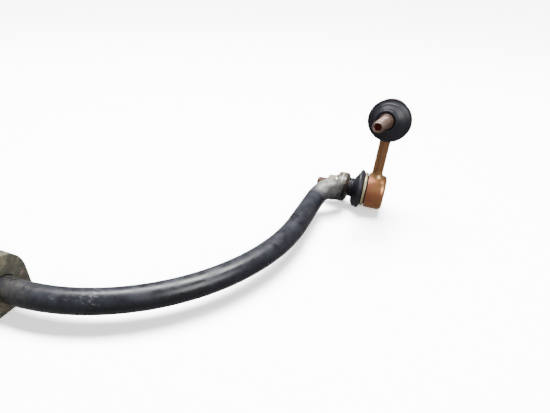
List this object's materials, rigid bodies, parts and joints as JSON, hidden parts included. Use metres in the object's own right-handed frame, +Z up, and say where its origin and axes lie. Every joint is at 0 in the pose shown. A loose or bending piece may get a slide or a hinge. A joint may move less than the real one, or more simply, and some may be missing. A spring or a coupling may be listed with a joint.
{
  "type": "sway bar",
  "caption": "Vehicle sway bar with split rubber bushings and a right-angle ball-jointed end link bolted to the flattened eye of each arm",
  "frame": {"origin": "on the ground plane, midway between the two ends and between front and back", "axes": "+X along the bar's straight middle, +Y from the straight middle towards the arms' eyes, +Z up from the bushings' flat bases"},
  "size_m": [1.0798, 0.2715, 0.1124],
  "materials": {
    "bar_paint": "worn satin black paint with dust and drips",
    "bushing_rubber": "dirty matt rubber",
    "housing_zinc": "iridescent yellow zinc, rusting",
    "rod_zinc": "iridescent yellow zinc, rusting",
    "cap_zinc": "iridescent yellow zinc",
    "seat_plastic": "natural acetal",
    "stud_steel": "rusty plated steel",
    "nut_zinc": "pale zinc plate",
    "boot_rubber": "black rubber with a soft sheen",
    "boot_ring_zinc": "pale yellow zinc",
    "neck_ring_steel": "blackened spring steel"
  },
  "bodies": {
    "bar": {"sway_bar": "bar_paint", "right_lower_ball_stud": "stud_steel", "right_stud_nut": "nut_zinc", "left_lower_ball_stud": "stud_steel", "left_stud_nut": "nut_zinc"},
    "right_bushing": {"right_bushing": "bushing_rubber"},
    "right_lower_neck_ring": {"right_lower_neck_ring": "neck_ring_steel"},
    "right_lower_boot": {"right_lower_boot": "boot_rubber"},
    "right_link": {"right_link_rod": "rod_zinc", "right_lower_housing": "housing_zinc", "right_lower_end_cap": "cap_zinc", "right_lower_ball_seat": "seat_plastic", "right_lower_boot_ring": "boot_ring_zinc", "right_upper_housing": "housing_zinc", "right_upper_end_cap": "cap_zinc", "right_upper_ball_seat": "seat_plastic", "right_upper_boot_ring": "boot_ring_zinc"},
    "right_upper_boot": {"right_upper_boot": "boot_rubber"},
    "right_upper_neck_ring": {"right_upper_neck_ring": "neck_ring_steel"},
    "right_upper_stud": {"right_upper_ball_stud": "stud_steel"},
    "left_bushing": {"left_bushing": "bushing_rubber"},
    "left_lower_neck_ring": {"left_lower_neck_ring": "neck_ring_steel"},
    "left_lower_boot": {"left_lower_boot": "boot_rubber"},
    "left_link": {"left_link_rod": "rod_zinc", "left_lower_housing": "housing_zinc", "left_lower_end_cap": "cap_zinc", "left_lower_ball_seat": "seat_plastic", "left_lower_boot_ring": "boot_ring_zinc", "left_upper_housing": "housing_zinc", "left_upper_end_cap": "cap_zinc", "left_upper_ball_seat": "seat_plastic", "left_upper_boot_ring": "boot_ring_zinc"},
    "left_upper_boot": {"left_upper_boot": "boot_rubber"},
    "left_upper_neck_ring": {"left_upper_neck_ring": "neck_ring_steel"},
    "left_upper_stud": {"left_upper_ball_stud": "stud_steel"}
  },
  "joints": [
    {"name": "right_bushing_turn", "type": "hinge", "parent": "bar", "child": "right_bushing", "pos_m": [0.284, -0.1163, 0.0196], "axis": [1, 0, 0], "range_deg": [-30, 30]},
    {"name": "right_link_swing", "type": "hinge", "parent": "bar", "child": "right_lower_neck_ring", "pos_m": [0.5154, 0.1167, 0.0196], "axis": [1, 0, 0], "range_deg": [-55, 65]},
    {"name": "right_link_yaw", "type": "hinge", "parent": "right_lower_neck_ring", "child": "right_lower_boot", "pos_m": [0.5154, 0.1167, 0.0196], "axis": [0, 0.0872, 0.9962], "range_deg": [-23, 13], "deforming": ["right_lower_boot"]},
    {"name": "right_link_lean", "type": "hinge", "parent": "right_lower_boot", "child": "right_link", "pos_m": [0.5154, 0.1167, 0.0196], "axis": [-0.0872, 0.9924, -0.0868], "range_deg": [-22, 14]},
    {"name": "right_stud_yaw", "type": "hinge", "parent": "right_link", "child": "right_upper_boot", "pos_m": [0.52047, 0.12349, 0.09211], "axis": [0.0695, 0.093, 0.9932], "range_deg": [-8, 28], "deforming": ["right_upper_boot"]},
    {"name": "right_stud_pitch", "type": "hinge", "parent": "right_upper_boot", "child": "right_upper_neck_ring", "pos_m": [0.52047, 0.12349, 0.09211], "axis": [0.9938, -0.093, -0.0608], "range_deg": [-14.5, 21.5]},
    {"name": "right_stud_spin", "type": "hinge", "parent": "right_upper_neck_ring", "child": "right_upper_stud", "pos_m": [0.52047, 0.12349, 0.09211], "axis": [-0.0823, -0.9838, 0.1593], "continuous": true},
    {"name": "left_bushing_turn", "type": "hinge", "parent": "bar", "child": "left_bushing", "pos_m": [-0.284, -0.1163, 0.0196], "axis": [1, 0, 0], "range_deg": [-30, 30]},
    {"name": "left_link_swing", "type": "hinge", "parent": "bar", "child": "left_lower_neck_ring", "pos_m": [-0.5154, 0.1167, 0.0196], "axis": [1, 0, 0], "range_deg": [-55, 65]},
    {"name": "left_link_yaw", "type": "hinge", "parent": "left_lower_neck_ring", "child": "left_lower_boot", "pos_m": [-0.5154, 0.1167, 0.0196], "axis": [0, -0.0872, -0.9962], "range_deg": [-23, 13], "deforming": ["left_lower_boot"]},
    {"name": "left_link_lean", "type": "hinge", "parent": "left_lower_boot", "child": "left_link", "pos_m": [-0.5154, 0.1167, 0.0196], "axis": [-0.0872, -0.9924, 0.0868], "range_deg": [-22, 14]},
    {"name": "left_stud_yaw", "type": "hinge", "parent": "left_link", "child": "left_upper_boot", "pos_m": [-0.52047, 0.12349, 0.09211], "axis": [0.0695, -0.093, -0.9932], "range_deg": [-8, 28], "deforming": ["left_upper_boot"]},
    {"name": "left_stud_pitch", "type": "hinge", "parent": "left_upper_boot", "child": "left_upper_neck_ring", "pos_m": [-0.52047, 0.12349, 0.09211], "axis": [0.9938, 0.093, 0.0608], "range_deg": [-14.5, 21.5]},
    {"name": "left_stud_spin", "type": "hinge", "parent": "left_upper_neck_ring", "child": "left_upper_stud", "pos_m": [-0.52047, 0.12349, 0.09211], "axis": [-0.0823, 0.9838, -0.1593], "continuous": true}
  ]
}
